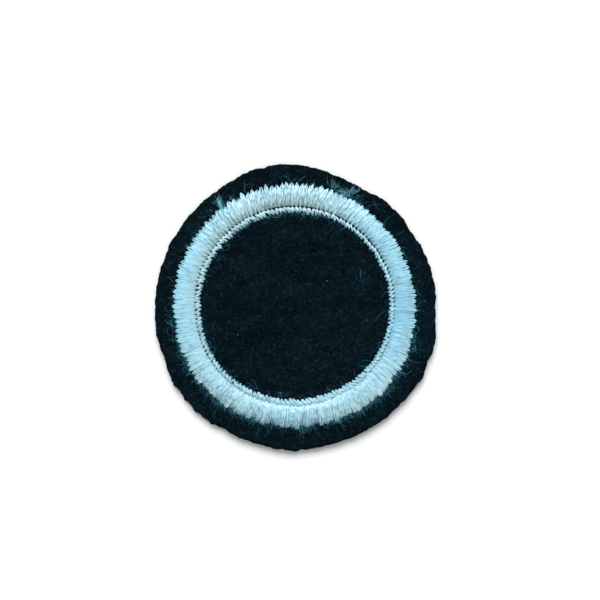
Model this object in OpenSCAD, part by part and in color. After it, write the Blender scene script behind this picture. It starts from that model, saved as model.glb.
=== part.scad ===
// Round military patch: a disc of black wool felt, cut out by hand, with a white
// ring embroidered on it. The ring is a wide, domed satin band with a narrow
// zigzag row inside it, and the under side of both shows on the back.
// The patch lies flat on its back. +Z points out of its face, +Y to its top edge,
// and the origin is at the middle of its outline, on the plane of its back.

/* [Felt] */
// Mean diameter of the felt disc
felt_d = 57.2; // [56:0.2:62]
// Thickness of the felt
felt_t = 1.6; // [1.4:0.1:2.4]
// How far the cut edge is rounded
edge_round = 0.25; // [0.1:0.05:0.4]

/* [Ring] */
// Outer diameter of the satin band
band_d = 49.2; // [47:0.2:50]
// Width of the satin band
band_w = 4.25; // [3:0.05:6]
// Height of the satin band's crown above the felt
band_rise = 0.55; // [0.2:0.05:0.9]
// Line of needle holes between the satin band and the zigzag row
hole_line = 0.2; // [0.1:0.05:0.5]
// Width of the zigzag row
row_w = 1.1; // [0.8:0.1:2]
// Height of the zigzag row above the felt
row_rise = 0.15; // [0.05:0.05:0.3]
// How far the ring's centre lies to the right of the felt's
ring_x = -0.15; // [-0.5:0.05:0.5]
// How far the ring's centre lies above the felt's
ring_y = 0.55; // [-0.6:0.05:0.6]
// How deep the stitches press into the face
bed_depth = 0.3; // [0.2:0.05:0.4]

/* [Back] */
// How deep the stitches press into the back
back_depth = 0.2; // [0.1:0.05:0.3]
// How much narrower the stitching is on the back, on each side
back_inset = 0.35; // [0.1:0.05:0.6]

/* [Hidden] */

// Clearance between a piece and the bed that it lies in, and how far the bed's walls lean
gap = 0.02;
side_gap = 0.05;
bed_lean = 0.15;
// A cut that runs past the face that it starts from
past = 1;
// The thickness of a piece at its edges, where the thread dives into the felt
thread_edge = 0.12;

// The scissors' slow waves round the outline
WAVE_COUNT = 0;
WAVE_MM = 1;
WAVE_CREST_DEG = 2;
waves = [
    [2, 0.19, 126],
    [3, 0.32, 103],
    [4, 0.09, 16],
    [5, 0.10, 32],
    [6, 0.17, 35],
    [8, 0.07, 1],
    [9, 0.04, 18],
    [10, 0.04, 12],
];

// Small steps that single snips left: inwards where the height is negative
SNIP_DEG = 0;
SNIP_MM = 1;
SNIP_HALF_DEG = 2;
snips = [
    [10, 0.10, 2],
    [16, 0.14, 2],
    [25, 0.10, 2],
    [33, -0.34, 3],
    [41.5, 0.24, 2.5],
    [51, 0.26, 3],
    [60, -0.22, 2],
    [94.5, -0.14, 2],
    [98.5, 0.20, 2],
    [102, -0.22, 2],
    [105.5, 0.18, 2],
    [112, 0.16, 1.5],
    [115.5, -0.20, 2],
    [124, -0.12, 2],
    [141, 0.12, 3],
    [147, -0.16, 3],
    [153, 0.10, 2],
    [200, -0.24, 2],
    [211, 0.18, 3],
    [218, -0.18, 2],
    [226, 0.16, 2],
    [234.5, 0.14, 1.5],
    [237.5, -0.18, 2],
    [298, 0.12, 2],
    [322, -0.12, 4],
    [332, 0.10, 3],
    [339, -0.16, 2],
    [346, 0.12, 4],
    [356, -0.14, 5],
];

outline_points = 180;
ring_fn = 180;

// Profile of the cut edge: the share of the thickness and the share of the rounding
edge_profile = [[0, 1], [0.12, 0.25], [0.5, 0], [0.88, 0.25], [1, 1]];

band_out = band_d / 2;
band_in = band_out - band_w;
row_out = band_in - hole_line;
row_in = row_out - row_w;
bed_z = felt_t - bed_depth;

function sum(list, i = 0) = i < len(list) ? list[i] + sum(list, i + 1) : 0;
function turned(a) = (a + 540) % 360 - 180;
function wave_at(a) =
    sum([for (w = waves) w[WAVE_MM] * cos(w[WAVE_COUNT] * (a - w[WAVE_CREST_DEG]))]);
function snip_at(a) =
    sum([for (s = snips) s[SNIP_MM] * exp(-pow(turned(a - s[SNIP_DEG]) / s[SNIP_HALF_DEG], 2))]);
function felt_r(a) = felt_d / 2 + wave_at(a) + snip_at(a);

// The outline about the middle of its own box, taken in by inset
raw_outline = [for (i = [0 : outline_points - 1])
    let (a = 360 * i / outline_points) felt_r(a) * [cos(a), sin(a)]];
raw_x = [for (p = raw_outline) p.x];
raw_y = [for (p = raw_outline) p.y];
middle = [(max(raw_x) + min(raw_x)) / 2, (max(raw_y) + min(raw_y)) / 2];
function outline(inset) =
    [for (p = raw_outline) p * (1 - inset / norm(p)) - middle];
ring_at = [ring_x, ring_y] - middle;

// The felt before stitching: one ring of points for each row of the edge profile
module felt_blank() {
    n = outline_points;
    rows = len(edge_profile);
    points = [for (e = edge_profile, p = outline(e[1] * edge_round)) [p.x, p.y, e[0] * felt_t]];
    sides = [for (k = [0 : rows - 2], i = [0 : n - 1])
        let (j = (i + 1) % n) each [
            [k * n + i, (k + 1) * n + i, (k + 1) * n + j],
            [k * n + i, (k + 1) * n + j, k * n + j]
        ]];
    back = [for (i = [0 : n - 1]) i];
    face = [for (i = [n - 1 : -1 : 0]) (rows - 1) * n + i];
    polyhedron(points, concat(sides, [back, face]), convexity = 4);
}

// A shape given by its radii and heights, turned about the ring's own centre
module about_ring() {
    translate(ring_at) rotate_extrude($fn = ring_fn) children();
}

// A trough from radius r1 to r2, from z1, its floor, to z2, its mouth
module trough(r1, r2, z1, z2) {
    lean = bed_lean * abs(z2 - z1) / bed_depth;
    about_ring()
        polygon([[r1, z1], [r2, z1], [r2 + lean, z2], [r1 - lean, z2]]);
}

// Domed cross-section of a row of stitches: a segment of a circle over a low edge
module dome(r1, r2, z, height) {
    half = (r2 - r1) / 2;
    crown = height - thread_edge;
    radius = (half * half + crown * crown) / (2 * crown);
    translate([r1, z]) square([2 * half, thread_edge]);
    translate([r1, z + thread_edge]) intersection() {
        square([2 * half, crown]);
        translate([half, crown - radius]) circle(r = radius, $fn = ring_fn);
    }
}

module felt_disc() {
    color("#0a1a21") difference() {
        felt_blank();
        trough(row_in - side_gap, band_out + side_gap, bed_z, felt_t + past);
        trough(row_in + back_inset, band_out - back_inset, back_depth, -past);
    }
}

module satin_band() {
    color("#a2d4e5") about_ring()
        dome(band_in, band_out, bed_z + gap, bed_depth - gap + band_rise);
}

module zigzag_row() {
    color("#9fc5cc") about_ring()
        dome(row_in, row_out, bed_z + gap, bed_depth - gap + row_rise);
}

// The lower thread, pulled flush with the back of the felt
module back_stitching() {
    inset = back_inset + side_gap;
    color("#c3cfd0") about_ring()
        translate([row_in + inset, 0])
            square([band_out - row_in - 2 * inset, back_depth - gap]);
}

felt_disc();
satin_band();
zigzag_row();
back_stitching();
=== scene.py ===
# The round military patch: its felt with the nap on it, every pass of the embroidery as twisted
# thread, the loose hairs, and the floor, light and camera. Lengths are in millimetres until a
# mesh is made, and angles are in degrees from +X towards +Y about the ring's centre.
import math

import bpy
import numpy as np
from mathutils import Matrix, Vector, noise


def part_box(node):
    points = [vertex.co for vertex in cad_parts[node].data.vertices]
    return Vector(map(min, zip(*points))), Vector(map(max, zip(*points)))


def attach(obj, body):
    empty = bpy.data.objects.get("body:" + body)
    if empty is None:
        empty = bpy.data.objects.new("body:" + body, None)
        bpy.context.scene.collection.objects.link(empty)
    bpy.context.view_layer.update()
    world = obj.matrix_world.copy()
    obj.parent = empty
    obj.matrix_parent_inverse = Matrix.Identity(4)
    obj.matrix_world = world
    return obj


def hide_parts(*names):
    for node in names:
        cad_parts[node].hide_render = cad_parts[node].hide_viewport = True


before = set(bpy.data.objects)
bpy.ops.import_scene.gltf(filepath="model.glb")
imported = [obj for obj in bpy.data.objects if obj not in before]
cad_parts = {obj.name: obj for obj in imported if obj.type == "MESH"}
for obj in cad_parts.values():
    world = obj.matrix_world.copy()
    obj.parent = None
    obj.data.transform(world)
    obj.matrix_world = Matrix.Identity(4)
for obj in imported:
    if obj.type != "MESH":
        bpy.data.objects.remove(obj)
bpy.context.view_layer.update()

MM = 0.001
TURN = 360.0

# Sizes read from the frame


def corners(node):
    """A node's lowest and highest corners in mm."""
    return [np.array(c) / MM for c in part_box(node)]


def node_points(node):
    """The points of a node's mesh in mm."""
    return np.array([v.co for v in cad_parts[node].data.vertices]) / MM


def from_centre(places):
    """The radius and the angle of each place about the ring's centre."""
    x, y = places[..., 0] - RING[0], places[..., 1] - RING[1]
    return np.hypot(x, y), np.degrees(np.arctan2(y, x))


def radii(node):
    """A ring's inner and outer radius."""
    radius = from_centre(node_points(node))[0]
    return radius.min(), radius.max()


FELT_TOP = corners("felt_disc")[1][2]
RING = sum(corners("satin_band"))[:2] / 2
BAND_IN, BAND_OUT = radii("satin_band")
ROW_IN, ROW_OUT = radii("zigzag_row")
BACK_IN, BACK_OUT = radii("back_stitching")
BED, BAND_TOP = (c[2] for c in corners("satin_band"))
ROW_TOP = corners("zigzag_row")[1][2]
BACK_BED = corners("back_stitching")[1][2]


def felt_outline():
    """The cut edge at mid-height, as angles and radii about the ring's centre."""
    points = node_points("felt_disc")
    radius, angle = from_centre(points[abs(points[:, 2] - FELT_TOP / 2) < FELT_TOP / 20])
    angle %= TURN
    order = np.argsort(angle)
    return angle[order], radius[order]


EDGE_ANGLES, EDGE_RADII = felt_outline()


def edge_at(angle):
    """The felt's radius at each angle."""
    return np.interp(angle, EDGE_ANGLES, EDGE_RADII, period=TURN)


def polar(radius, angle):
    """Places at each radius and angle about the ring's centre."""
    a = np.radians(angle)
    return np.stack([RING[0] + radius * np.cos(a), RING[1] + radius * np.sin(a)], -1)


def evenly(count):
    """So many angles, evenly spaced round the ring."""
    return TURN * np.arange(count) / count


def smooth_step(low, high, x):
    """0 below low, 1 above high, and a smooth rise between."""
    t = np.clip((x - low) / (high - low), 0, 1)
    return t * t * (3 - 2 * t)


def lumps(points, size, seed):
    """Smooth noise from about -1 to 1 at points or level places, in lumps of about that size."""
    points = np.pad(points, ((0, 0), (0, 3 - points.shape[1])))
    shift = Vector((17.3, 5.1, 9.7)) * seed
    return np.array([noise.noise(Vector(p) / size + shift) for p in points])


def unit(v):
    """Vectors scaled to a length of 1."""
    return v / np.maximum(np.linalg.norm(v, axis=-1, keepdims=True), 1e-9)


# Making meshes

# Names of the map that lays out each piece's whole surface, and of the one along each strand
CELLS = "OFBake"
ALONG = "Strand"
# Colour attribute: a thread's brightness, which carries painted highlight and shade, its warmth,
# which is also warm painted shade, and its unevenness; or a fibre's chance, nothing and paleness,
# or a speck's own colour
TONE = "Tone"
# A strand's cell in the map: its margin, the length of an end cap's part, and a cap's half size
MARGIN = 0.06
CAP = 0.08
CAP_HALF = (0.03, 0.4)


def placed(name, data):
    """A new object with that data, in the scene."""
    obj = bpy.data.objects.new(name, data)
    bpy.context.collection.objects.link(obj)
    return obj


def mesh_object(name, points, faces, material):
    """A smooth mesh object. Points are in mm."""
    mesh = bpy.data.meshes.new(name)
    mesh.from_pydata((np.asarray(points) * MM).tolist(), [], faces)
    mesh.shade_smooth()
    mesh.materials.append(material)
    return placed(name, mesh)


def new_piece(name, points, faces, material):
    """A mesh piece that rides on the patch."""
    piece = mesh_object(name, points, faces, material)
    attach(piece, "root")
    return piece


def set_map(piece, name, places):
    """A UV map from one place for each face corner."""
    layer = piece.data.uv_layers.new(name=name)
    layer.data.foreach_set("uv", np.asarray(places, np.float32).ravel())


def set_tone(piece, tone, repeats=1):
    """The colour attribute, from three numbers for each vertex or each so many vertices."""
    layer = piece.data.color_attributes.new(name=TONE, type="FLOAT_COLOR", domain="POINT")
    full = np.ones((len(piece.data.vertices), 4), np.float32)
    full[:, :3] = np.repeat(tone.reshape(-1, 3), repeats, 0)
    layer.data.foreach_set("color", full.ravel())


def lifted(flat, height):
    """Level places with heights, as points."""
    return np.concatenate([flat, height[..., None]], -1)


def square_to(centre):
    """Directions square to centre lines of shape (strand, ring, 3): upwards and sideways."""
    chord = unit(centre[:, -1, :2] - centre[:, 0, :2])
    across = np.stack([-chord[:, 1], chord[:, 0], 0 * chord[:, 0]], -1)
    tangent = unit(np.gradient(centre, axis=1))
    up = unit(np.cross(tangent, across[:, None]))
    return up, np.cross(up, tangent)


def run(centre):
    """How far each point of centre lines lies along its line."""
    step = np.linalg.norm(np.diff(centre, axis=1), axis=2)
    return np.pad(step.cumsum(1), ((0, 0), (1, 0)))


def cell_places(count, shape, inner):
    """Places inside a grid of cells, one cell to a strand. inner has each corner's place in its
    strand's cell, from 0 to 1, and shape is a cell's length over its width."""
    columns = max(1, round(math.sqrt(count / shape)))
    rows = math.ceil(count / columns)
    which = np.arange(count)
    corner = np.stack([which % columns / columns, which // columns / rows], -1)
    places = corner[:, None] + (MARGIN + (1 - 2 * MARGIN) * inner) / (columns, rows)
    return places.reshape(-1, 2)


def tubes(name, centre, radius, sides, tone, material, flatness=1.0):
    """Closed tubes round centre lines of shape (strand, ring, 3). flatness is their section's
    height over its width."""
    count, rings = centre.shape[:2]
    up, side = square_to(centre)
    turn = 2 * np.pi * np.arange(sides) / sides
    spoke = side[:, :, None] * np.sin(turn)[:, None]
    rise = -up[:, :, None] * np.cos(turn)[:, None]
    flatness = np.broadcast_to(flatness, (count, 1))[:, :, None, None]
    radius = np.broadcast_to(radius, (count, rings))
    points = centre[:, :, None] + radius[:, :, None, None] * (spoke + flatness * rise)
    # One strand's faces, each corner as (ring, side)
    i, j = (g.ravel() for g in np.meshgrid(np.arange(rings - 1), np.arange(sides), indexing="ij"))
    at = np.stack([[i, j], [i, j + 1], [i + 1, j + 1], [i + 1, j]], 0).transpose(2, 0, 1)
    index = at[:, :, 0] * sides + at[:, :, 1] % sides
    start = np.arange(count)[:, None, None] * rings * sides
    walls = (index[None] + start).reshape(-1, 4)
    first = np.arange(sides)
    near = first[::-1] + start[:, 0]
    far = first + (rings - 1) * sides + start[:, 0]
    faces = walls.tolist() + near.tolist() + far.tolist()
    piece = new_piece(name, points.reshape(-1, 3), faces, material)
    outward = unit(flatness * spoke + rise).reshape(-1, 3)
    piece.data.normals_split_custom_set_from_vertices(outward.tolist())
    wall = at.reshape(-1, 2) / (rings - 1, sides) * (1 - 2 * CAP, 1) + (CAP, 0)
    cap = np.stack([np.cos(turn), np.sin(turn)], -1) * CAP_HALF
    inner = (wall, cap + (CAP / 2, 0.5), cap + (1 - CAP / 2, 0.5))
    set_map(piece, CELLS, np.concatenate([cell_places(count, rings / sides, i) for i in inner]))
    along = run(centre)[:, at[:, :, 0]].reshape(-1)
    around = np.tile(at[:, :, 1].ravel() / sides, count)
    spare = np.zeros((2 * count * sides, 2))
    set_map(piece, ALONG, np.concatenate([np.stack([along, around], -1), spare]))
    set_tone(piece, np.broadcast_to(tone, centre.shape), sides)
    return piece


def ribbons(name, centre, width, roll, tone, material):
    """Flat fibres along centre lines of shape (strand, ring, 3), tapered at both ends. roll has
    each one's tilt about its own line, in degrees from lying flat."""
    count, rings = centre.shape[:2]
    tangent = unit(np.gradient(centre, axis=1))
    level = unit(np.cross((0, 0, 1), tangent))
    roll = np.radians(roll)[:, None, None]
    side = level * np.cos(roll) + np.cross(tangent, level) * np.sin(roll)
    taper = np.sin(np.pi * np.linspace(0.12, 0.88, rings))
    half = (width[:, None] * taper / 2)[:, :, None] * side
    points = np.stack([centre - half, centre + half], 2)
    i = np.arange(rings - 1)
    at = np.stack([[i, 0 * i], [i + 1, 0 * i], [i + 1, 0 * i + 1], [i, 0 * i + 1]], 0)
    at = at.transpose(2, 0, 1)
    index = at[:, :, 0] * 2 + at[:, :, 1]
    faces = (index[None] + np.arange(count)[:, None, None] * rings * 2).reshape(-1, 4)
    piece = new_piece(name, points.reshape(-1, 3), faces.tolist(), material)
    set_map(piece, CELLS, cell_places(count, 1, at.reshape(-1, 2) / (rings - 1, 1)))
    set_tone(piece, np.broadcast_to(tone[:, None], centre.shape), 2)


# Materials


def linear(red, green, blue):
    """A screen colour, 0 to 255, as the shader's linear one."""
    c = np.array([red, green, blue]) / 255
    return tuple(np.where(c <= 0.04045, c / 12.92, ((c + 0.055) / 1.055) ** 2.4)) + (1.0,)


class Finish:
    """A material, and its nodes as they are added. What goes into an input is a value or the
    output of another node."""

    def __init__(self, name, roughness, specular):
        self.material = bpy.data.materials.new(name)
        self.material.use_nodes = True
        self.tree = self.material.node_tree
        self.shader = self.tree.nodes["Principled BSDF"]
        self.feed(self.shader, Roughness=roughness, Specular_IOR_Level=specular)

    def put(self, socket, value):
        """Gives an input its value, or links it to an output."""
        if isinstance(value, bpy.types.NodeSocket):
            self.tree.links.new(value, socket)
        else:
            socket.default_value = value

    def feed(self, node, **values):
        """Sets a node's own settings and its inputs, whose names have _ for a space."""
        for key, value in values.items():
            if hasattr(node, key):
                setattr(node, key, value)
            else:
                self.put(node.inputs[key.replace("_", " ")], value)
        return node

    def add(self, kind, **values):
        """A new node, fed with those values."""
        return self.feed(self.tree.nodes.new("ShaderNode" + kind), **values)

    def where(self):
        """Places on the patch, in metres."""
        return self.add("TexCoord").outputs["Object"]

    def tone(self):
        """The colour that is stored with each strand."""
        return self.add("Attribute", attribute_name=TONE).outputs["Color"]

    def reckon(self, operation, *values):
        """The outcome of that operation."""
        node = self.add("Math", operation=operation)
        for socket, value in zip(node.inputs, values):
            self.put(socket, value)
        return node.outputs["Value"]

    def blend(self, share, first, second):
        """The colour between two, at that share of the second."""
        mix = self.add("Mix", data_type="RGBA", Factor=share)
        self.put(mix.inputs[6], first)
        self.put(mix.inputs[7], second)
        return mix.outputs[2]

    def ranged(self, value, low, high, to_low=0.0, to_high=1.0):
        """A value taken from one range to another, without passing its ends."""
        node = self.add("MapRange", Value=value, From_Min=low, From_Max=high)
        return self.feed(node, To_Min=to_low, To_Max=to_high).outputs["Result"]

    def grain(self, where, size, detail=2.0, rough=0.5):
        """Noise with spots of about size mm."""
        scale = 1 / (size * MM)
        node = self.add("TexNoise", Vector=where, Scale=scale, Detail=detail, Roughness=rough)
        return node.outputs["Fac"]

    def stretched(self, where, scale):
        """Places scaled along each axis."""
        return self.add("Mapping", Vector=where, Scale=scale).outputs["Vector"]

    def streaked(self, where, colour, share):
        """A colour in faint broad streaks from left to right, darker by up to that share: painted
        shade of the felt's gentle rolls.
        """
        streaks = self.grain(self.stretched(where, (0.25, 1, 1)), 3.0)
        return self.blend(self.ranged(streaks, 0.35, 0.65, share, 0), colour, FELT_SHADE)

    def bump(self, height, depth, strength):
        """Adds relief of about depth mm."""
        node = self.add("Bump", Height=height, Strength=strength, Distance=depth * MM)
        self.feed(self.shader, Normal=node.outputs["Normal"])

    def coloured(self, colour):
        """The material, with that colour."""
        self.feed(self.shader, Base_Color=colour)
        return self.material


def thread_material(name, cool, warm, dim, pale, roughness, specular):
    """Twisted embroidery thread: fine filaments along each ply, each pass a little different."""
    look = Finish(name, roughness, specular)
    bright, warmth, uneven = look.add("SeparateColor", Color=look.tone()).outputs
    # Painted highlight and shade: brightness above 0.5 blends in pale and below it dim, besides
    # each strand's own tone; warmth is yellowing and warm painted shade
    colour = look.blend(look.ranged(bright, 0.5, 1), cool, pale)
    colour = look.blend(warmth, colour, warm)
    colour = look.blend(look.ranged(bright, 0, 0.5, 0.8, 0), colour, dim)
    # Shade where one ply meets the next, which is away from the middle of its upper face
    strand = look.add("UVMap", uv_map=ALONG).outputs["UV"]
    around = look.add("SeparateXYZ", Vector=strand).outputs["Y"]
    off_middle = look.reckon("ABSOLUTE", look.reckon("SUBTRACT", around, 0.5))
    crease = look.ranged(off_middle, 0.06, 0.18, 0, 0.8)
    depth = look.ranged(uneven, 0, 1, 0.3, 1)
    colour = look.blend(look.reckon("MULTIPLY", crease, depth), colour, dim)
    # Filaments: noise stretched along the ply
    place = look.stretched(strand, (1.2, 16, 1))
    noisy = look.add("TexNoise", Vector=place, Scale=1.0, Detail=3.0, Roughness=0.6)
    filament = noisy.outputs["Fac"]
    colour = look.blend(look.ranged(filament, 0.35, 0.65, 0.15, 0), colour, dim)
    look.bump(filament, 0.005, 0.6)
    # The sheen spreads across the filaments
    look.feed(look.shader, IOR=1.5, Anisotropic=0.4, Anisotropic_Rotation=0.25)
    tangent = look.add("Tangent", direction_type="UV_MAP", uv_map=ALONG)
    look.feed(look.shader, Tangent=tangent.outputs["Tangent"])
    return look.coloured(colour)


def felt_material():
    """Black wool felt with a blue-green cast: matted fibres, cloudy in places, with streaks of
    painted shade.
    """
    look = Finish("felt", 1.0, 0.02)
    where = look.where()
    fine = look.grain(where, 0.3, 3.0, 0.65)
    colour = look.blend(look.ranged(fine, 0.36, 0.72), FELT_DARK, FELT_MID)
    haze = look.ranged(look.grain(where, 2.2), 0.4, 0.75, 0, 0.6)
    colour = look.blend(haze, colour, FELT_MID)
    look.bump(fine, 0.08, 0.8)
    return look.coloured(look.streaked(where, colour, 0.35))


def fibre_material(name, dark, pale, patchiness, streaks=0.0):
    """Loose fibres, from dark to pale as each one's tone says, with darker patches and streaks of
    painted shade.
    """
    look = Finish(name, 0.8, 0.06)
    where = look.where()
    paleness = look.add("SeparateColor", Color=look.tone()).outputs["Blue"]
    colour = look.blend(paleness, dark, pale)
    patches = look.ranged(look.grain(where, 0.55), 0.35, 0.7, patchiness, 0)
    colour = look.blend(patches, colour, dark)
    if streaks:
        colour = look.streaked(where, colour, streaks)
    return look.coloured(colour)


def dust_material():
    """Dust of the colour that is stored with each speck."""
    look = Finish("dust", 0.9, 0.1)
    return look.coloured(look.blend(look.grain(look.where(), 0.06), look.tone(), FELT_MID))


def floor_material():
    """Smooth pale paper, very slightly uneven."""
    look = Finish("paper", 0.9, 0.2)
    return look.coloured(look.blend(look.grain(look.where(), 30.0), FLOOR_PALE, FLOOR_PALER))


# Thread colours: cool, warm, dim and pale. Warm is also warm painted shade, dim painted shade
# and pale painted highlight
UPPER = (linear(139, 207, 232), linear(214, 230, 214), linear(90, 138, 158), linear(182, 237, 251))
LOWER = (linear(188, 206, 210), linear(196, 200, 190), linear(130, 146, 150), linear(206, 214, 214))
FELT_SHADE = linear(0, 2, 3)
FELT_DARK = linear(1, 4, 6)
FELT_MID = linear(12, 34, 45)
# Fibre colours: dark and pale
NAP = (linear(3, 10, 13), linear(46, 100, 115))
FUZZ = (linear(10, 40, 52), linear(78, 172, 200))
HAIR = (linear(20, 80, 100), linear(156, 230, 252))
FLOOR_PALE = linear(244, 244, 244)
FLOOR_PALER = linear(247, 247, 247)

# The felt

# How far the stitches' pull reaches into the felt beside them
PULL = 0.45
# The swell beyond it: its height, how far it lies from the stitching, and its width
SWELL = 0.05
SWELL_AT = 1.0
SWELL_WIDE = 0.6
# Radius of the rounding of the cut edge
EDGE_ROUND = 0.28
# Radius from which the felt's rings follow the cut edge instead of the stitching
LAST_ROUND = 25.2
# Points in each of its outer rings, and the radii below which the rings have half as many
RIM_POINTS = 480
HALVED_AT = (13.5, 6.5, 3.2, 1.2)
# The rows of points down its side, as (share of the height, share of the rounding)
SIDE_ROWS = [
    (0.97, 0.62), (0.9, 0.28), (0.78, 0.08), (0.62, 0), (0.46, 0), (0.3, 0.05), (0.17, 0.2),
    (0.07, 0.5),
]
# Half the width of what its map holds of each side
MAP_HALF = 31.5


def face_height(places):
    """Height of the felt's face at each place, before its fine unevenness."""
    radius, angle = from_centre(places)
    pressed = smooth_step(ROW_IN - PULL, ROW_IN + 0.1, radius)
    band_edge = outer_edge(angle)
    pressed *= 1 - smooth_step(band_edge - 0.15, band_edge + PULL, radius)
    beside = np.minimum(abs(radius - ROW_IN + SWELL_AT), abs(radius - band_edge - SWELL_AT))
    swell = SWELL * np.exp(-((beside / SWELL_WIDE) ** 2))
    inset = np.clip(1 - (edge_at(angle) - radius) / EDGE_ROUND, 0, 1)
    rounded = EDGE_ROUND * (1 - np.sqrt(1 - inset**2 * 0.999))
    return FELT_TOP - (FELT_TOP - BED) * pressed + swell - rounded


def uneven_height(places):
    """Height of the felt's face with its lumps, and with gentle rolls from left to right."""
    rolls = 0.06 * lumps(places * (0.3, 1), 2.0, 6)
    fine = 0.035 * lumps(places, 0.9, 2)
    return face_height(places) + 0.035 * lumps(places, 3.0, 1) + fine + rolls


def face_rings(spacing):
    """Rings of places over the felt, from near the middle to the rounding of the cut edge."""
    rings = []
    for radius in np.arange(spacing, LAST_ROUND, spacing):
        halvings = sum(radius <= least for least in HALVED_AT)
        rings.append(polar(radius, evenly(RIM_POINTS >> halvings)))
    angle = evenly(RIM_POINTS)
    inside = edge_at(angle) - EDGE_ROUND
    shares = np.linspace(0, 1, 1 + math.ceil(3.2 / spacing))
    rings += [polar(LAST_ROUND * (1 - s) + inside * s, angle) for s in shares]
    return rings


def bridged(first, second, a, b):
    """Faces between two rings of a and b points that start at those indices. b is a or twice a."""
    k = np.arange(a)
    after = (k + 1) % a
    if a == b:
        return np.stack([first + k, second + k, second + after, first + after], -1).tolist()
    left, middle, right = 2 * k, 2 * k + 1, (2 * k + 2) % b
    fans = [
        [first + k, second + left, second + middle],
        [first + k, second + middle, first + after],
        [first + after, second + middle, second + right],
    ]
    return [f for fan in fans for f in np.stack(fan, -1).tolist()]


def felt_layer(places, height):
    """Points and faces of a disc of rings with a middle point, and where its last ring starts."""
    points = [lifted(p, height(p)) for p in [RING[None], *places]]
    starts = np.cumsum([0] + [len(p) for p in points])
    first = len(places[0])
    faces = [[0, 1 + k, 1 + (k + 1) % first] for k in range(first)]
    for k in range(1, len(places)):
        faces += bridged(starts[k], starts[k + 1], len(places[k - 1]), len(places[k]))
    return np.concatenate(points), faces, starts[-2]


def back_height(places):
    """Height of the felt's back: on the floor, but drawn in under the stitching."""
    radius = from_centre(places)[0]
    drawn = smooth_step(BACK_IN - 0.25, BACK_IN + 0.05, radius)
    drawn *= 1 - smooth_step(BACK_OUT - 0.05, BACK_OUT + 0.25, radius)
    return BACK_BED * drawn + 0.03 * (1 + lumps(places, 1.4, 3))


def felt_body(material):
    """The disc of felt: its face, the ragged side of the cut and its back, as one closed mesh."""
    face_points, faces, last = felt_layer(face_rings(0.35), uneven_height)
    back_points, back_faces, back_last = felt_layer(face_rings(0.5), back_height)
    angle = evenly(RIM_POINTS)
    side = []
    for high, inset in SIDE_ROWS:
        z = high * FELT_TOP + (face_points[last:, 2] - FELT_TOP) * high
        radius = edge_at(angle) - inset * EDGE_ROUND
        place = polar(radius, angle)
        rough = 0.24 * lumps(lifted(place, 2 * z), 0.55, 4)
        rough += 0.32 * lumps(lifted(place, z), 1.4, 5)
        side.append(lifted(polar(radius + rough, angle), z))
    points = np.concatenate([face_points] + side + [back_points])
    under = len(face_points) + RIM_POINTS * len(SIDE_ROWS)
    starts = [last, *range(len(face_points), under, RIM_POINTS), under + back_last]
    for first, second in zip(starts, starts[1:]):
        faces += bridged(first, second, RIM_POINTS, RIM_POINTS)
    back_starts = len(faces)
    faces += [[under + i for i in f[::-1]] for f in back_faces]
    piece = new_piece("felt_body", points, faces, material)
    set_map(piece, CELLS, felt_map(piece, points, back_starts))
    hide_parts("felt_disc")
    low, high = corners("felt_disc")


def felt_map(piece, points, back_starts):
    """The felt's map: face and side unrolled as one disc, and the back as another beside it."""
    radius, angle = from_centre(points)
    away = points[:, :2] - RING
    outward = away / np.maximum(radius, 1e-9)[:, None]
    inset_edge = edge_at(angle) - EDGE_ROUND
    unrolled = inset_edge + (FELT_TOP - points[:, 2]).clip(0)
    front = outward * np.where(radius > inset_edge - 0.1, unrolled, radius)[:, None]
    corner = np.array([l.vertex_index for l in piece.data.loops])
    sizes = np.array([p.loop_total for p in piece.data.polygons])
    back = np.repeat(np.arange(len(sizes)) >= back_starts, sizes)[:, None]
    place = (np.where(back, away[corner], front[corner]) / MAP_HALF + 1) / 2
    return place * (0.5, 1) + back * (0.5, 0)


# Stitches

PERIODS = 150
STEP = TURN / PERIODS
# A pass's two plies: their offset and half width, their section's height over its width where
# the passes are even and how much more it is where they aren't, and the length of a turn of twist
PLY_OFFSET = 0.13
PLY_HALF = 0.2
PLY_FLAT = 0.05
PLY_ROUND = 0.1
TWIST = 7.0
# The height of a flattened pass, and how far the crowns lie below the top besides
THREAD = 0.1
CROWN_LOW = 0.04
# How far the outer needle holes lie beyond the band's edge, and the inner ones within it
HOLE_OUT = 0.27
HOLE_IN = 0.14
# How deep the thread goes into the felt beside the stitching, and into the bed under it
INTO_FACE = 0.05
INTO_BED = 0.1
# The share of their way over which the passes turn in to their outer needle holes
OUTER_OPEN = 0.16

# How far the band's outer edge lies from its mean radius: angle, then mm outwards
BAND_EDGE = {
    0: -0.06, 20: -0.46, 32: -0.32, 48: -0.31, 60: -0.13, 76: 0.08, 90: 0.38, 104: 0.3, 111: 0.38,
    122: 0.2, 134: -0.08, 165: -0.06, 180: -0.02, 200: -0.07, 217: 0.12, 235: -0.13, 258: -0.38,
    271: -0.06, 281: -0.23, 290: 0.06, 300: -0.1, 308: 0.24, 322: 0.34, 336: 0.2, 350: 0.1,
}
# The same for the inner edge of the zigzag row
ROW_EDGE = {
    0: 0.1, 15: 0.18, 40: 0.1, 60: -0.02, 84: -0.16, 110: -0.12, 128: -0.1, 136: -0.22, 146: 0.02,
    170: -0.08, 195: -0.08, 205: 0.12, 222: 0.18, 240: -0.05, 258: -0.1, 280: -0.3, 300: -0.18,
    315: 0, 330: 0.2, 345: 0.16,
}
# The same for the band's inner edge
BAND_INNER_EDGE = {
    0: -0.05, 10: -0.05, 30: -0.2, 50: -0.32, 65: -0.22, 90: -0.15, 105: -0.12, 130: -0.1,
    150: -0.12, 165: -0.05, 190: -0.3, 205: -0.1, 225: -0.2, 245: -0.5, 275: -0.6, 305: -0.55,
    325: -0.42, 345: -0.2,
}
# How far the inner end of a pass lies ahead of its outer end, in degrees
LEAN = {0: 0.1, 30: 0.8, 75: 1.6, 105: 1.3, 140: 0.4, 190: 0.1, 240: 0.5, 290: 1.4, 325: 1}
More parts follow.
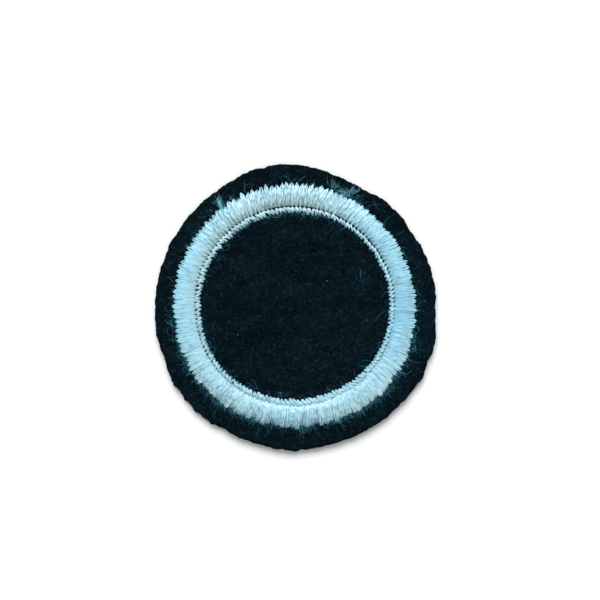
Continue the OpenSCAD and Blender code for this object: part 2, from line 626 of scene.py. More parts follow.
# How far the two passes of a tooth come together at its tip, from not at all to fully
GATHER = {
    0: 0.6, 22: 0.45, 42: 0.3, 62: 0.35, 74: 0.85, 80: 1, 108: 1, 118: 0.8, 130: 0.8, 150: 0.7,
    200: 0.7, 225: 0.5, 240: 0.3, 285: 0.3, 306: 0.3, 325: 0.4, 340: 0.35, 352: 0.5,
}
# How uneven the passes are, up to 1
UNEVEN = {
    0: 0.15, 25: 0.35, 50: 0.5, 72: 0.9, 130: 1, 150: 0.4, 170: 0.15, 200: 0.2, 225: 0.5, 250: 0.6,
    290: 0.6, 320: 0.5,
}
# How bright the passes are, from 0, dim, to 1 and above, pale, and how much more so at their
# outer and at their inner ends. Besides the thread's own tone, these paint highlight and shade
# that change round the ring with the light
TONE_AND_PAINTED_LIGHT = {
    0: 0.33, 22: 0.43, 42: 0.7, 60: 0.85, 80: 0.9, 100: 0.72, 120: 1.3, 134: 0.9, 150: 0.6,
    165: 0.52, 200: 0.48, 220: 0.5, 240: 0.5, 260: 0.57, 280: 0.44, 300: 0.52, 320: 0.68, 345: 0.4,
}
TIP_TONE_AND_PAINTED_LIGHT = {
    0: 0.25, 30: 0.2, 45: 0.05, 60: -0.25, 80: -0.4, 100: -0.8, 120: -0.8, 140: -0.75, 155: 0,
    200: 0.1, 215: -0.1, 240: -0.8, 260: -0.95, 285: -0.7, 305: 0.15, 322: 0.75, 335: 0.6,
    350: 0.45,
}
END_TONE_AND_PAINTED_LIGHT = {
    0: 0.25, 20: 0.05, 45: -0.4, 60: -0.3, 80: -0.3, 100: -0.7, 120: -0.1, 140: 0.65, 160: 0.2,
    195: 0.05, 240: 0.1, 290: -0.1, 305: -0.6, 320: -0.85, 335: -0.65, 350: -0.1,
}
# How long the passes' outer ends taper, as a share of their way
TAPER = {
    0: 0.12, 60: 0.12, 75: 0.17, 105: 0.19, 130: 0.16, 200: 0.15, 225: 0.12, 240: 0.08, 290: 0.08,
    330: 0.11,
}
# The share of their way over which the passes turn in to their inner needle holes
INNER_OPEN = {
    0: 0.13, 25: 0.25, 45: 0.3, 100: 0.3, 130: 0.32, 150: 0.24, 170: 0.16, 215: 0.14, 245: 0.2,
    320: 0.2, 345: 0.14,
}
# How far outside the band's inner edge its padding starts
PADDING_IN = {
    0: 0, 20: 0.14, 45: 0.26, 55: 0.26, 65: 0.18, 110: 0.2, 128: 0.14, 142: 0.04, 165: 0,
    195: 0.03, 218: 0.12, 245: -0.05, 325: -0.05, 345: 0,
}
# How wide its low inner ledge is, as a share of its width
PADDING_LEDGE = {
    0: 0.06, 20: 0.06, 45: 0.11, 135: 0.12, 160: 0.08, 180: 0.05, 215: 0.05, 245: 0.14, 315: 0.14,
    340: 0.05,
}
# How bright the ledge is, which lies deep between the passes' ends: painted shade, darkest
# where the value is lowest
LEDGE_PAINTED_SHADE = {0: 0.15, 200: 0.15, 235: 0.6, 315: 0.6, 335: 0.15}
# How yellowed the passes are at their outer ends, all along, and at their inner ends. The warm
# tint is partly yellowed thread and partly painted shade on slopes turned from the light
OUTER_SOIL_AND_SHADE = {
    0: 0.2, 22: 0.15, 45: 0.05, 90: 0.1, 120: 0, 150: 0, 190: 0.2, 235: 0.55, 285: 0.6, 305: 0.45,
    330: 0.4,
}
WHOLE_SOIL_AND_SHADE = {
    0: 0, 55: 0, 80: 0.14, 100: 0.2, 120: 0.03, 150: 0, 190: 0.03, 240: 0.25, 260: 0.15, 300: 0.22,
    320: 0.1, 340: 0,
}
INNER_SOIL_AND_SHADE = {
    0: 0, 35: 0.25, 60: 0.4, 80: 0.8, 100: 1, 125: 1, 140: 0.7, 165: 0.7, 185: 0.5, 210: 0.2,
    250: 0,
}
# How far the outer end of the row's upper passes lies ahead of the inner end, in degrees
ROW_LEAN = {
    0: 2.2, 20: 2.6, 45: 3.2, 90: 3, 140: 2.4, 165: 1.5, 200: 1.5, 235: 1.8, 260: 2.6, 325: 2.8,
    345: 2.2,
}
# How far the row's outer needle holes lie ahead of the band's inner ones, in periods
ROW_PHASE = {0: 0, 60: 0, 150: 0, 225: 0.1, 255: 0.5, 310: 0.5, 330: 0.2}
# How far they reach beyond the line of the band's inner edge
ROW_REACH = {
    0: 0.08, 20: 0, 70: 0, 85: 0.02, 100: 0, 112: 0.04, 120: 0.06, 200: 0.04, 225: 0.14, 245: 0.32,
    265: 0.44, 310: 0.46, 330: 0.24, 345: 0.12,
}
# How high the row's passes end there, above where the needle goes down
ROW_RISE = {0: 0.05, 60: 0, 140: 0.1, 210: 0.15, 245: 0.34, 310: 0.4, 340: 0.15}
# How full the row's passes are
ROW_FULL = {0: 0.66, 60: 0.62, 120: 0.66, 160: 0.69, 225: 0.72, 250: 0.85, 305: 0.9, 335: 0.75}
# How bright its upper passes are: their own tone with painted highlight and shade
ROW_TONE_AND_PAINTED_LIGHT = {
    0: 0.95, 20: 0.95, 40: 0.8, 60: 0.7, 80: 0.6, 130: 0.68, 145: 0.87, 165: 0.9, 200: 0.85,
    240: 0.8, 280: 0.85, 320: 0.92,
}
# Where the machine was set again, so that the band's edge steps out
RESETS = [296.5, 313.5, 324.5, 333.5, 352.0]
RESET_STEP = 0.45


def by_angle(table, angle):
    """A value from a table of angles and their values, between its rows."""
    at, value = np.array(list(table.items())).T
    return np.interp(angle, at, value, period=TURN)


def by_columns(angle, *tables):
    """The values of each table at those angles, as a column."""
    return [by_angle(table, angle)[:, None] for table in tables]


def stepped(angle):
    """How far the edge stands out after each reset, fading to the next one."""
    angle = angle % TURN
    out = np.zeros(len(angle))
    for start, end in zip(RESETS, RESETS[1:]):
        inside = (angle >= start) & (angle < end)
        out[inside] += RESET_STEP * (0.5 - (angle[inside] - start) / (end - start))
    return out


def outer_edge(angle):
    """The radius of the band's outer edge at each angle, without its teeth."""
    return BAND_OUT + by_angle(BAND_EDGE, angle) + stepped(angle)


def arch_shape(rings, power):
    """Shares of the way along a pass, closer together at its ends, and its height there from 0
    at the needle holes to 1 at its crown."""
    u = np.linspace(0, 1, rings)
    t = u - 0.08 * np.sin(2 * np.pi * u)
    return t, 1 - abs(2 * t - 1) ** power


def arches(starts, ends, base, crown, rings, power, sway):
    """Centre lines of passes that arch from start to end holes, leaning sideways by sway mm.
    base is the height of the start and of the end."""
    t, rise = arch_shape(rings, power)
    base = base[0][:, None] * (1 - t) + base[1][:, None] * t
    flat = starts[:, None] * (1 - t)[:, None] + ends[:, None] * t[:, None]
    along = unit(ends - starts)
    square = np.stack([-along[:, 1], along[:, 0]], -1)
    flat = flat + square[:, None] * (sway[:, None] * np.sin(np.pi * t))[:, :, None]
    return lifted(flat, base + (crown[:, None] - base) * rise)


def fullness(rings, first, last, least):
    """How full a thread is along a pass: it is drawn thin over the first and the last shares of
    its way, where it goes down a needle hole."""
    t = arch_shape(rings, 2)[0]
    return least + (1 - least) * np.clip(np.minimum(t / first, (1 - t) / last), 0, 1) ** 1.1


def plied(centre, offset, flatness, phase):
    """Two plies wound about each centre line, as flat as flatness says."""
    up, side = square_to(centre)
    turn = (-2 * np.pi * run(centre) / TWIST + phase[:, None])[:, :, None]
    out = np.cos(turn) * up * flatness[:, :, None] + np.sin(turn) * side
    out = out * offset[:, :, None]
    return np.concatenate([centre + out, centre - out])


def soil_and_shade(angle, share_in):
    """How yellowed the thread is along passes at those angles, from outer end to inner one,
    together with the warm painted shade of slopes turned from the light.
    """
    outer, whole, inner = by_columns(angle, OUTER_SOIL_AND_SHADE, WHOLE_SOIL_AND_SHADE, INNER_SOIL_AND_SHADE)
    return np.clip(outer * (1 - share_in) ** 3 + whole + inner * share_in**3, 0, 1)


def inner_angles():
    """The angles at which the satin's passes turn at the band's inner edge."""
    angle = STEP * np.arange(PERIODS)
    return angle + STEP / 2 + by_angle(LEAN, angle)


def ply_tones(bright, warmth, uneven, patches, rng):
    """Tone along each ply: how bright, how warm and how uneven. The two plies of a pass, which
    are half of all plies apart, are partly alike, and so are the passes of a patch. The brightness
    carries painted highlight and shade, and waves of painted glints along uneven plies."""
    own = np.tile(rng.normal(0, 0.35, (len(warmth) // 2, 1)), (2, 1))
    own += rng.normal(0, 0.9, (len(warmth), 1)) + 0.35 * np.tile(patches, 2)[:, None]
    # Waves of painted sheen: painted glints along uneven plies
    waves, shift = rng.uniform(2.5, 7, own.shape), rng.uniform(0, 1, own.shape)
    painted_sheen = np.sin(2 * np.pi * (waves * np.linspace(0, 1, warmth.shape[1]) + shift))
    bright = bright + (0.06 + 0.16 * uneven) * own + 0.42 * uneven**1.5 * painted_sheen
    return np.stack(np.broadcast_arrays(bright.clip(0, 1), warmth, uneven), -1)


def ripples(centre, depth, rng):
    """Heights of gentle waves along each line, of that depth, each with its own length."""
    wave, shift = rng.uniform(1.5, 3.5, (len(centre), 1)), rng.uniform(0, 1, (len(centre), 1))
    return depth * np.sin(2 * np.pi * (run(centre) / wave + shift))


def passes(name, centre, full, bright, warmth, uneven, rng, material):
    """Twisted passes of thread along centre lines, each of two plies. full is how thick each is
    along its way, and uneven is how far it is from flat and alike, up to 1."""
    count, rings = centre.shape[:2]
    full = np.broadcast_to(full, (count, rings))
    flatness = PLY_FLAT + PLY_ROUND * uneven
    plies = plied(centre, PLY_OFFSET * full, flatness, rng.uniform(0, 2 * np.pi, count))
    patches = lumps(centre[:, rings // 2], 2.0, 7)
    full, bright, warmth, uneven, flatness = (
        np.tile(a, (2, 1)) for a in (full, bright, warmth, uneven, flatness)
    )
    plies[:, :, 2] += ripples(plies, 0.08 * uneven, rng) * full
    tone = ply_tones(bright, warmth, uneven, patches, rng)
    return tubes(name, plies, PLY_HALF * full, 6, tone, material, flatness)


def satin_half(name, outer, inner, raised, rng, material):
    """One pass of satin for each pair of an outer and an inner end. An end is three arrays: the
    hole's radius and angle, and the angle at which the pass would end if it kept straight."""
    rings = 28
    t, rise = arch_shape(rings, 2.1)
    angle = (outer[1] + inner[1]) / 2
    uneven, open_in, taper = by_columns(angle, UNEVEN, INNER_OPEN, TAPER)
    turn_out = np.clip(1 - t / OUTER_OPEN, 0, 1)
    turn_in = np.clip(1 - (1 - t) / open_in, 0, 1)
    path = outer[2][:, None] * (1 - t) + inner[2][:, None] * t
    path += (outer[1] - outer[2])[:, None] * turn_out + (inner[1] - inner[2])[:, None] * turn_in
    # Uneven passes wander sideways
    path += uneven * rng.normal(0, 0.09 * STEP, (PERIODS, 1)) * np.sin(np.pi * t)
    path += uneven * rng.normal(0, 0.06 * STEP, (PERIODS, 1)) * np.sin(2 * np.pi * t)
    radius = outer[0][:, None] * (1 - t) + inner[0][:, None] * t
    crown = BAND_TOP - THREAD / 2 - CROWN_LOW
    crown = crown + (0.3 + uneven) * rng.normal(raised, 0.04, (PERIODS, 1))
    low = face_height(polar(outer[0], outer[1])) - INTO_FACE
    low = low[:, None] * (1 - t) + (BED - INTO_BED) * t
    centre = lifted(polar(radius, path), low + (crown - low) * rise)
    full = fullness(rings, taper, 0.8 * open_in, 0.05)
    full = full * (1 - 0.25 * t * (uneven - 0.5).clip(0) + rng.normal(0, 0.07, (PERIODS, 1)))
    # Painted highlight and shade along each pass, with more at its outer and inner ends, besides
    # its own tone
    bright, tip, end = by_columns(angle, TONE_AND_PAINTED_LIGHT, TIP_TONE_AND_PAINTED_LIGHT, END_TONE_AND_PAINTED_LIGHT)
    bright = bright + tip * (1 - t) ** 4 + end * t**4
    return passes(name, centre, full, bright, soil_and_shade(angle, t), uneven, rng, material)


def satin_stitches(material):
    """The satin band. Its passes lie side by side, and each turns in at its ends to share a
    needle hole with one neighbour at the outer edge, and with the other at the inner edge."""
    rng = np.random.default_rng(11)
    angle = STEP * np.arange(PERIODS)
    uneven = by_angle(UNEVEN, angle)
    gather = by_angle(GATHER, angle) * (1 - 0.25 * uneven * rng.uniform(0, 1, PERIODS))
    outer = outer_edge(angle) + HOLE_OUT
    outer += rng.normal(0, 1, PERIODS).clip(-1.5, 2) * (0.1 + 0.13 * uneven)
    inner = BAND_IN - HOLE_IN + by_angle(BAND_INNER_EDGE, angle)
    inner += rng.normal(0, 0.06 + 0.08 * uneven, PERIODS)
    middle = inner_angles()
    outer_hole = angle + rng.normal(0, 0.05, PERIODS) * (1 + 2 * uneven) * STEP
    inner_hole = middle + rng.normal(0, 0.08, PERIODS) * STEP
    for name, side in (("satin_stitches", 1), ("satin_stitches_back", -1)):
        kept = angle + side * STEP / 4
        own = outer + rng.normal(0, 0.08, PERIODS) - 0.12 * (1 - gather)
        out_end = [own, kept + (outer_hole - kept) * gather, kept]
        # A returning pass ends at the next tooth
        if side < 0:
            out_end = [np.append(a[1:], a[0] + wrap) for a, wrap in zip(out_end, (0, TURN, TURN))]
        in_end = (inner, inner_hole, middle - side * STEP / 4)
        satin_half(name, out_end, in_end, 0.025 * side, rng, material)
    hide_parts("satin_band")


def padding(material):
    """The ring of laid thread under the satin, so that no felt shows through the band."""
    count = 600
    angle = evenly(count)
    ledge = by_angle(PADDING_LEDGE, angle)
    low = BED + 0.05
    crown = BAND_TOP - 0.17 - 0.1 * by_angle(UNEVEN, angle)
    inside = BAND_IN + by_angle(BAND_INNER_EDGE, angle) + by_angle(PADDING_IN, angle)
    # It stays out of sight between deep teeth
    outside = BAND_OUT - 0.4 + by_angle(BAND_EDGE, angle) - (by_angle(GATHER, angle) - 0.7).clip(0)
    ridge = 0.03 * np.cos(np.pi * np.arange(count))
    rings = []
    for s in (0, 0.07, 0.14, 0.18, 0.25, 0.375, 0.5, 0.625, 0.75, 0.875, 1):
        across = ((s - ledge) / (1 - ledge)).clip(0)
        height = low + (crown - low) * (1 - abs(2 * across - 1) ** 2.8) + ridge * (0.2 < s < 0.8)
        rings.append(lifted(polar(inside * (1 - s) + outside * s, angle), height))
    rings.append(rings[0] - (0, 0, 0.05))
    points = np.concatenate(rings)
    faces = []
    for k in range(len(rings)):
        faces += bridged(count * k, count * ((k + 1) % len(rings)), count, count)
    piece = new_piece("satin_padding", points, faces, material)
    # Painted shade: the padding's tone dims it, and its low inner ledge as that table says, with
    # warm painted shade there
    tone = np.tile((0.35, 0.3, 0.3), (len(points), 1))
    tone[:2 * count, 0] = np.tile(by_angle(LEDGE_PAINTED_SHADE, angle), 2)
    tone[:2 * count, 1] = 0.5
    set_tone(piece, tone)
    radius = from_centre(points[[l.vertex_index for l in piece.data.loops]])[0]
    set_map(piece, ALONG, np.column_stack([radius, np.full(len(radius), 0.5)]))


def row_stitches(material):
    """The zigzag row: bold passes on top that lean forward, and wide ones leading back in painted
    shade.
    """
    rng = np.random.default_rng(13)
    rings = 12
    angle = inner_angles()
    lean = by_angle(ROW_LEAN, angle)
    angle = angle + by_angle(ROW_PHASE, angle) * STEP
    outer = BAND_IN + by_angle(BAND_INNER_EDGE, angle) + by_angle(ROW_REACH, angle)
    outer += rng.normal(0, 0.05, PERIODS)
    inner = ROW_IN - 0.02 + by_angle(ROW_EDGE, angle) + rng.normal(0, 0.07, PERIODS)
    outer_hole = polar(outer, angle + rng.normal(0, 0.22, PERIODS))
    inner_angle = angle - lean + rng.normal(0, 0.25, PERIODS)
    inner_hole = polar(inner, inner_angle)
    starts = np.concatenate([polar(inner + 0.18, inner_angle), np.roll(inner_hole, -1, 0)])
    ends = np.concatenate([outer_hole, outer_hole])
    on_top = np.repeat([1.0, 0.0], PERIODS)
    crown = ROW_TOP - THREAD / 2 - CROWN_LOW + 0.1 * on_top + rng.normal(0, 0.03, len(starts))
    sway = rng.normal(0, 0.07, len(starts))
    rise, width, bright = (
        np.tile(by_angle(table, angle), 2) for table in (ROW_RISE, ROW_FULL, ROW_TONE_AND_PAINTED_LIGHT)
    )
    low = (face_height(starts) - INTO_FACE, BED - INTO_BED + rise)
    centre = arches(starts, ends, low, crown, rings, 2.2, sway)
    width += 0.35 * (1 - on_top)
    full = fullness(rings, 0.25, 0.12, 0.55) * (width + rng.normal(0, 0.04, len(starts)))[:, None]
    warmth = 0.05 + 0.4 * soil_and_shade(np.tile(angle, 2), np.ones(rings))
    # Painted shade: the lower passes that lead back are darker, and every pass darkens towards its
    # inner end
    bright = bright - 0.3 * (1 - on_top)
    bright = bright[:, None] * smooth_step(-0.2, 0.6, np.linspace(0, 1, rings))
    uneven = np.full((len(starts), 1), 0.8)
    piece = passes("row_stitches", centre, full, bright, warmth, uneven, rng, material)
    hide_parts("zigzag_row")


def back_stitches(material):
    """The under side: the lower thread's flat zigzags behind the band and behind the row."""
    rng = np.random.default_rng(14)
    k = np.arange(PERIODS)
    rings = 10
    lines = []
    zigzags = ((BAND_IN + 0.15, BACK_OUT - 0.1, 0.0), (BACK_IN + 0.1, ROW_OUT - 0.1, 0.7))
    for low, high, shift in zigzags:
        outer_angle = STEP * (k + shift) + rng.normal(0, 0.2, PERIODS)
        inner_angle = STEP * (k + shift + 0.5) + rng.normal(0, 0.2, PERIODS)
        outer = polar(high + rng.normal(0, 0.08, PERIODS), outer_angle)
        inner = polar(low + rng.normal(0, 0.05, PERIODS), inner_angle)
        starts = np.concatenate([outer, np.roll(outer, -1, 0)])
        ends = np.concatenate([inner, inner])
        depth = 0.145 + rng.uniform(-0.02, 0.02, len(starts))
        sway = rng.normal(0, 0.05, len(starts))
        base = np.full(len(starts), BACK_BED + 0.12)
        lines.append(arches(starts, ends, (base, base), depth, rings, 3.5, sway))
    centre = np.concatenate(lines)
    tone = rng.uniform(0, 1, (len(centre), 1, 1))
    piece = tubes("back_stitches", centre, 0.12, 6, tone, material)
    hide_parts("back_stitching")


# Nap and loose hairs

# How many fibres the nap has in the middle and on the rim, and how many stand out of the cut edge
NAP_MIDDLE = 13500
NAP_RIM = 9000
EDGE_FIBRES = 3500
# How many fibres the lint would have if it stood thick all round
LINT_MOST = 4300
# How thick the lint stands along the band's outer edge: angle, then a share
LINT = {
    0: 0.3, 20: 0.15, 45: 0.12, 62: 0.35, 80: 0.3, 140: 0.3, 155: 0.12, 185: 0.3, 198: 0.95,
    215: 1, 235: 1, 262: 0.85, 285: 0.75, 300: 1, 335: 0.95, 348: 0.5,
}
# The share of it that lies along the row's inner edge instead
LINT_INSIDE = {60: 0.2, 80: 0.3, 140: 0.3, 155: 0.2, 250: 0.12, 330: 0.12}
# Threads that have come apart into filaments. angle and radius are where each starts, heading
# is the middle of its fan, bend and curl are in degrees a mm, pale is from teal to white.
FRAYS = [
    # angle, radius, heading, fan, length, bend, curl, count, spread, pale
    (127.5, 23.6, 112, 2.5, 3.8, 0, 3, 44, 0.08, 2),
    (127.2, 24.3, 112, 9, 3.2, -8, 12, 10, 0.2, 0.5),
    (126.2, 26.3, 60, 30, 1.6, -15, 30, 18, 0.3, 0.75),
    (126.7, 24.5, 68, 8, 1.6, 0, 10, 5, 0.1, 0.45),
    (121.1, 25.3, 60, 40, 1.1, 0, 40, 6, 0.3, 0.35),
    (127.6, 26.5, 90, 60, 0.9, 0, 40, 6, 0.3, 0.35),
    (130.7, 25.3, 150, 35, 1.2, 20, 30, 5, 0.25, 0.2),
    (65.4, 24.6, 60, 90, 1.2, 0, 150, 34, 0.5, 1.2),
    (68, 24.4, 90, 50, 0.7, 0, 80, 40, 0.9, 0.9),
    (65.6, 24.8, 60, 50, 2.4, 0, 30, 12, 0.4, 1.1),
    (66.5, 24.9, 110, 30, 2.6, 0, 30, 7, 0.5, 0.8),
    (72.3, 25, 88, 6, 2.6, 0, 8, 6, 0.15, 0.5),
    (70.9, 25.7, 120, 60, 1.5, 0, 60, 18, 0.8, 0.4),
    (63.9, 25.8, 50, 10, 1.7, 0, 15, 12, 0.3, 0.8),
    (63.2, 25.5, -10, 5, 2.8, 32, 5, 6, 0.12, 0.75),
    (61, 25.8, -48, 5, 1.4, 0, 10, 3, 0.08, 0.45),
    (75.3, 26.2, -64, 10, 1, 0, 10, 3, 0.1, 0.4),
]
# Single hairs, in the same way
HAIRS = [
    # angle, radius, heading, length, bend, pale
    (233, 24.9, 228, 3.4, 6, 0.5),
    (335, 24.9, 322, 4.2, 12, 0.55),
    (30, 15.3, 278, 3.1, 2, 0.9),
    (358, 19.1, 200, 4, 9, 0.5),
    (7, 24.8, 318, 1.6, 0, 0.5),
    (54, 27.3, 262, 3.9, 18, 0.4),
    (54, 24.9, 20, 3, -6, 0.4),
    (60, 25.7, 12, 1.5, 0, 0.4),
    (59, 24.9, 315, 1.6, 5, 0.45),
    (75, 25.2, 88, 2.6, 0, 0.5),
    (114, 25, 88, 3.2, -2, 0.45),
    (137, 26.6, 330, 2.2, 30, 0.35),
    (160, 26.2, 190, 1.8, 25, 0.35),
    (225, 18.9, 18, 1.4, 10, 0.5),
    (244, 24.7, 268, 2, 25, 0.5),
    (257, 24.9, 300, 2.4, -30, 0.5),
    (262, 19, 70, 2.2, 45, 0.45),
    (273, 19, 95, 1.8, -60, 0.4),
    (280, 24.9, 250, 1.8, 50, 0.45),
    (310, 25.2, 10, 2.6, -35, 0.5),
    (321, 25.3, 300, 2.2, 40, 0.5),
    (328, 25, 350, 2.4, -20, 0.5),
    (342, 25.4, 290, 2.6, 30, 0.45),
    (100, 18.9, 240, 1.6, 20, 0.35),
    (83, 18.8, 220, 2.6, 12, 0.4),
    (190, 26, 240, 1.8, 40, 0.35),
]
# How many curls hang from the row's inner edge, and between which angles
LOOPS = 60
LOOPS_FROM_TO = (58, 140)
# Specks of dust on the felt
SPECKS = [
    # angle, radius, size, red, green, blue
    (207, 12.9, 0.17, 200, 215, 220),
    (38, 8.3, 0.15, 190, 205, 210),
    (195, 7.7, 0.16, 120, 100, 50),
    (54, 18.2, 0.13, 130, 60, 60),
    (300, 10.5, 0.12, 110, 150, 155),
    (170, 15, 0.14, 70, 130, 140),
]


def wandering(start, heading, length, bend, rings, rng, waviness=0.5):
    """Level paths that set off from start at a heading and curl by bend degrees a mm."""
    share = np.linspace(0, 1, rings)
    travel = length[:, None] * share
    height = rng.normal(0, waviness, len(start))[:, None]
    wave = height * np.sin(2 * np.pi * (share + rng.uniform(0, 1, len(start))[:, None]))
    turn = np.radians(heading[:, None] + bend[:, None] * travel) + wave
    step = np.diff(travel, axis=1, prepend=0)
    x = start[:, :1] + (np.cos(turn) * step).cumsum(1)
    y = start[:, 1:] + (np.sin(turn) * step).cumsum(1)
    return np.stack([x, y], -1)


def uppermost(places, within):
    """Height of what lies uppermost at each place: the felt, or the stitching where that is no
    more than within mm from its outer edge, or 0.5 mm from its inner one."""
    radius, angle = from_centre(places)
    outer = outer_edge(angle)
    across = np.clip((radius - BAND_IN) / (outer - BAND_IN), 0, 1)
    band = BED + (BAND_TOP + 0.03 - BED) * (1 - abs(2 * across - 1) ** 2.1)
    inner = ROW_IN + by_angle(ROW_EDGE, angle)
    across = np.clip((radius - inner) / (BAND_IN - inner), 0, 1)
    row = BED + (ROW_TOP + 0.1 - BED) * (1 - abs(2 * across - 1) ** 2.2)
    height = np.maximum(uneven_height(places), np.where(outer - radius < within, band, 0))
    return np.maximum(height, np.where(radius - inner < 0.5, row, 0))


def lying(flat, lift, ends=0.02, within=None):
    """Fibres that lie along level paths, rising by lift in their middles. They lie on the felt,
    or on what is uppermost if within is given. What would pass over the cut edge follows it."""
    share = np.linspace(0, 1, flat.shape[1])
    radius, angle = from_centre(flat)
    flat = polar(np.minimum(radius, edge_at(angle) - 0.15), angle)
    places = flat.reshape(-1, 2)
    height = uneven_height(places) if within is None else uppermost(places, within)
    height = height.reshape(flat.shape[:2])
    return lifted(flat, height - ends + (lift[:, None] + ends) * np.sin(np.pi * share))


def scattered(count, low, high, rng):
    """Places spread evenly between two radii about the ring's centre. high may be an angle's."""
    angle = rng.uniform(0, TURN, count)
    outer = high(angle) if callable(high) else high
    radius = np.sqrt(rng.uniform(0, 1, count) * (outer**2 - low**2) + low**2)
    return polar(radius, angle)


def fibre_tones(paleness, rng):
    """Each fibre's tone, from how pale it is."""
    chance = rng.uniform(0, 1, len(paleness))
    return np.column_stack([chance, 0 * chance, np.clip(paleness, 0, 1)])


def nap(name, start, material, rng):
    """A mat of short fibres on the face. Most are dark and a few are pale."""
    count = len(start)
    length = rng.gamma(4, 0.3, count).clip(0.5, 3.2)
    heading = rng.uniform(0, TURN, count)
    flat = wandering(start, heading, length, rng.normal(0, 60, count), 6, rng)
    centre = lying(flat, rng.gamma(1.5, 0.03, count).clip(0.01, 0.2))
    tone = fibre_tones(rng.uniform(0, 1, count) ** 7, rng)
    width = rng.uniform(0.03, 0.07, count)
    ribbons(name, centre, width, rng.normal(0, 20, count), tone, material)


def edge_fibres(material):
    """Short fibres that stand out of the cut edge."""
    rng = np.random.default_rng(23)
    count = EDGE_FIBRES
    angle = rng.uniform(0, TURN, count)
    height = rng.uniform(0.12, FELT_TOP - 0.1, count)
    start = polar(edge_at(angle) - 0.12, angle)
    heading = angle + rng.normal(0, 60, count)
    length = rng.gamma(2.5, 0.065, count).clip(0.1, 0.5)
    flat = wandering(start, heading, length, rng.normal(0, 120, count), 6, rng)
    climb = rng.normal(0, 0.1, count)[:, None] * np.linspace(0, 1, 6)
    centre = lifted(flat, (height[:, None] + climb).clip(0.04))
    tone = fibre_tones(0.3 * rng.uniform(0, 1, count) ** 3, rng)
    width = rng.uniform(0.03, 0.06, count)
    ribbons("felt_edge_fibres", centre, width, rng.uniform(0, 180, count), tone, material)


def lint(material):
    """Curly fibres that the needle has drawn up along both edges of the stitching."""
    rng = np.random.default_rng(24)
    angle = rng.uniform(0, TURN, LINT_MOST)
    angle = angle[rng.uniform(0, 1, len(angle)) < by_angle(LINT, angle)]
    count = len(angle)
    inside = rng.uniform(0, 1, count) < by_angle(LINT_INSIDE, angle)
    away = rng.gamma(1.2, 0.26, count).clip(0, 2) - 0.36
    inner = ROW_IN + by_angle(ROW_EDGE, angle) - 0.7 * away
    radius = np.where(inside, inner, BAND_OUT + by_angle(BAND_EDGE, angle) + away)
    length = rng.gamma(4, 0.4, count).clip(0.5, 3.5)
    bend = rng.choice([-1, 1], count) * rng.gamma(1.5, 35, count)
    heading = rng.uniform(0, TURN, count)
    flat = wandering(polar(radius, angle), heading, length, bend, 12, rng, 0.3)
    centre = lying(flat, rng.gamma(2, 0.09, count).clip(0.03, 0.5), within=0.45)
    # The further from the stitching, the darker
    tone = fibre_tones(rng.uniform(0, 1.35, count) ** 1.6 * np.exp(-0.6 * away), rng)
    width = rng.uniform(0.018, 0.04, count)
    ribbons("lint", centre, width, rng.normal(0, 30, count), tone, material)


def hairs(material):
    """Filaments of the frayed thread ends, single hairs, and curls at the row's inner edge."""
    rng = np.random.default_rng(25)
    rings = 12
    # Of each group of strands: paths, lifts, palenesses and half widths
    groups = []
    for angle, radius, heading, fan, length, bend, curl, count, spread, pale in FRAYS:
        start = polar(radius, angle) + rng.normal(0, spread / 2, (count, 2))
        headings = heading + rng.normal(0, fan, count)
        lengths = length * rng.uniform(0.55, 1.05, count)
        bends = bend + rng.normal(0, curl, count)
        path = wandering(start, headings, lengths, bends, rings, rng, 0.2)
        lift = rng.uniform(0.1, 0.5, count)
        pales = pale * rng.uniform(0.2, 1.4, count)
        groups.append((path, lift, pales, rng.uniform(0.012, 0.028, count)))
    for angle, radius, heading, length, bend, pale in HAIRS:
        start = polar(radius, angle)[None]
        heading, length, bend, lift, pale, half = np.array(
            [[heading], [length], [bend], [0.25], [0.55 * pale], [0.016]]
        )
        groups.append((wandering(start, heading, length, bend, rings, rng, 0.1), lift, pale, half))
    angle = rng.uniform(*LOOPS_FROM_TO, LOOPS)
    radius = ROW_IN + by_angle(ROW_EDGE, angle) + rng.normal(0.02, 0.08, LOOPS)
    curl = rng.choice([-1, 1], LOOPS) * rng.uniform(150, 350, LOOPS)
    heading, length = rng.uniform(0, TURN, LOOPS), rng.uniform(0.6, 1.2, LOOPS)
    path = wandering(polar(radius, angle), heading, length, curl, rings, rng, 0.2)
    ends = ((0.03, 0.2), (0.1, 0.6), (0.015, 0.03))
    groups.append((path, *(rng.uniform(low, high, LOOPS) for low, high in ends)))
    path, lift, pale, half = (np.concatenate(part) for part in zip(*groups))
    centre = lying(path, lift, 0.0, 1.5)
    thin = 1 - 0.7 * smooth_step(0.5, 1, np.linspace(0, 1, rings))
    tone = pale.clip(0, 1)[:, None, None] * (0, 0, 1)
    tubes("loose_hairs", centre, half[:, None] * thin, 3, tone, material)


def specks(material):
    """Bits of dust on the felt."""
    rng = np.random.default_rng(26)
    rings = 5
    along = np.linspace(-0.5, 0.5, rings)
    angle, radius, size, *colour = np.array(SPECKS, float).T
    heading = np.radians(rng.uniform(0, TURN, len(size)))
    direction = np.stack([np.cos(heading), np.sin(heading)], -1)
    place = polar(radius, angle)
    flat = place[:, None] + size[:, None, None] * along[:, None] * direction[:, None]
    height = np.repeat((uneven_height(place) + size / 3)[:, None], rings, 1)
    half = size[:, None] / 2 * np.sqrt(1.05 - (2 * along) ** 2)
    tone = np.array([linear(*c)[:3] for c in np.transpose(colour)])[:, None]
    tubes("specks", lifted(flat, height), half, 6, tone, material)


# The floor, the light and the camera

# Half the width of the floor
FLOOR_HALF = 1500.0
# The window light: where it stands, its strength, and how wide it looks, all angles in degrees
SUN_AZIMUTH = 97
SUN_HEIGHT = 45
SUN_STRENGTH = 3.0
SUN_WIDE = 42
SKY_COLOUR = (0.97, 0.99, 1.0, 1.0)
SKY_STRENGTH = 0.52
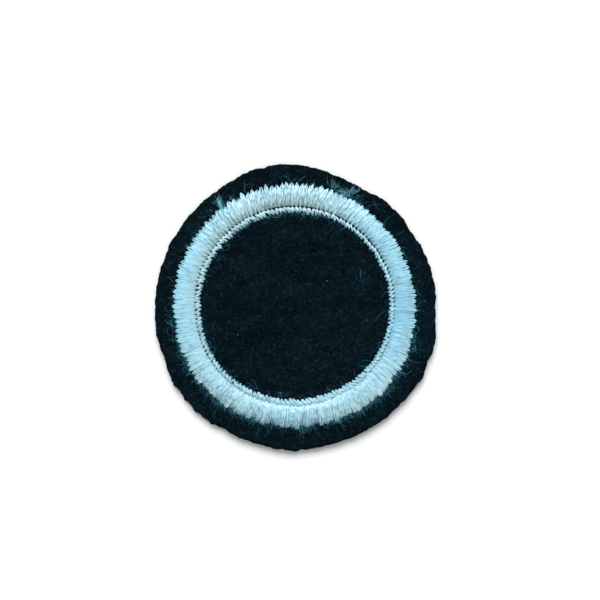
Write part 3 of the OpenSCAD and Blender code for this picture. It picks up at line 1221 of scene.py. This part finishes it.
# The photograph: its width in pixels, its scale, and where the patch's middle is in it
PHOTO_WIDTH = 600
PIXELS_PER_MM = 4.94
MIDDLE_PIXEL = (295.4, 307.3)
LENS = 85.0
SENSOR = 36.0


def floor(material):
    """A wide pale surface under the patch."""
    ends = np.array([(-1, -1, 0), (1, -1, 0), (1, 1, 0), (-1, 1, 0)])
    mesh_object("floor", FLOOR_HALF * ends, [(0, 1, 2, 3)], material)


def lighting():
    """Soft window light from the top of the picture, and an even sky."""
    light = bpy.data.lights.new("window", "SUN")
    light.energy = SUN_STRENGTH
    light.angle = math.radians(SUN_WIDE)
    a, e = math.radians(SUN_AZIMUTH), math.radians(SUN_HEIGHT)
    source = Vector((math.cos(a) * math.cos(e), math.sin(a) * math.cos(e), math.sin(e)))
    obj = placed("window", light)
    obj.rotation_euler = source.to_track_quat("Z", "Y").to_euler()
    obj.location = source
    world = bpy.data.worlds.new("sky")
    world.use_nodes = True
    sky = world.node_tree.nodes["Background"]
    sky.inputs["Color"].default_value = SKY_COLOUR
    sky.inputs["Strength"].default_value = SKY_STRENGTH
    bpy.context.scene.world = world
    bpy.context.scene.view_settings.view_transform = "Standard"


def camera():
    """Straight above, as far as the photograph's scale says, and off centre as it is there."""
    data = bpy.data.cameras.new("camera")
    data.lens = LENS
    data.sensor_width = SENSOR
    data.clip_start = 0.01
    field = PHOTO_WIDTH / PIXELS_PER_MM
    x = (PHOTO_WIDTH / 2 - MIDDLE_PIXEL[0]) / PIXELS_PER_MM
    y = (MIDDLE_PIXEL[1] - PHOTO_WIDTH / 2) / PIXELS_PER_MM
    obj = placed("camera", data)
    obj.location = Vector((x, y, FELT_TOP + field * LENS / SENSOR)) * MM
    bpy.context.scene.camera = obj


def main():
    """Makes every piece, then the light and the camera."""
    felt = felt_material()
    fibre = fibre_material("nap", *NAP, 0.8, 0.35)
    fuzz = fibre_material("fuzz", *FUZZ, 0.4)
    hair = fibre_material("hair", *HAIR, 0.15)
    thread = thread_material("thread", *UPPER, 0.42, 1.0)
    lower = thread_material("lower_thread", *LOWER, 0.6, 0.25)
    floor(floor_material())
    felt_body(felt)
    rng = np.random.default_rng(21)
    nap("felt_nap_middle", scattered(NAP_MIDDLE, 0.0, ROW_IN + 0.1, rng), fibre, rng)
    rim = scattered(NAP_RIM, BAND_OUT - 0.2, lambda a: edge_at(a) - 0.3, rng)
    nap("felt_nap_rim", rim, fibre, rng)
    edge_fibres(fibre)
    satin_stitches(thread)
    padding(thread)
    row_stitches(thread)
    back_stitches(lower)
    lint(fuzz)
    hairs(hair)
    specks(dust_material())
    lighting()
    camera()


main()
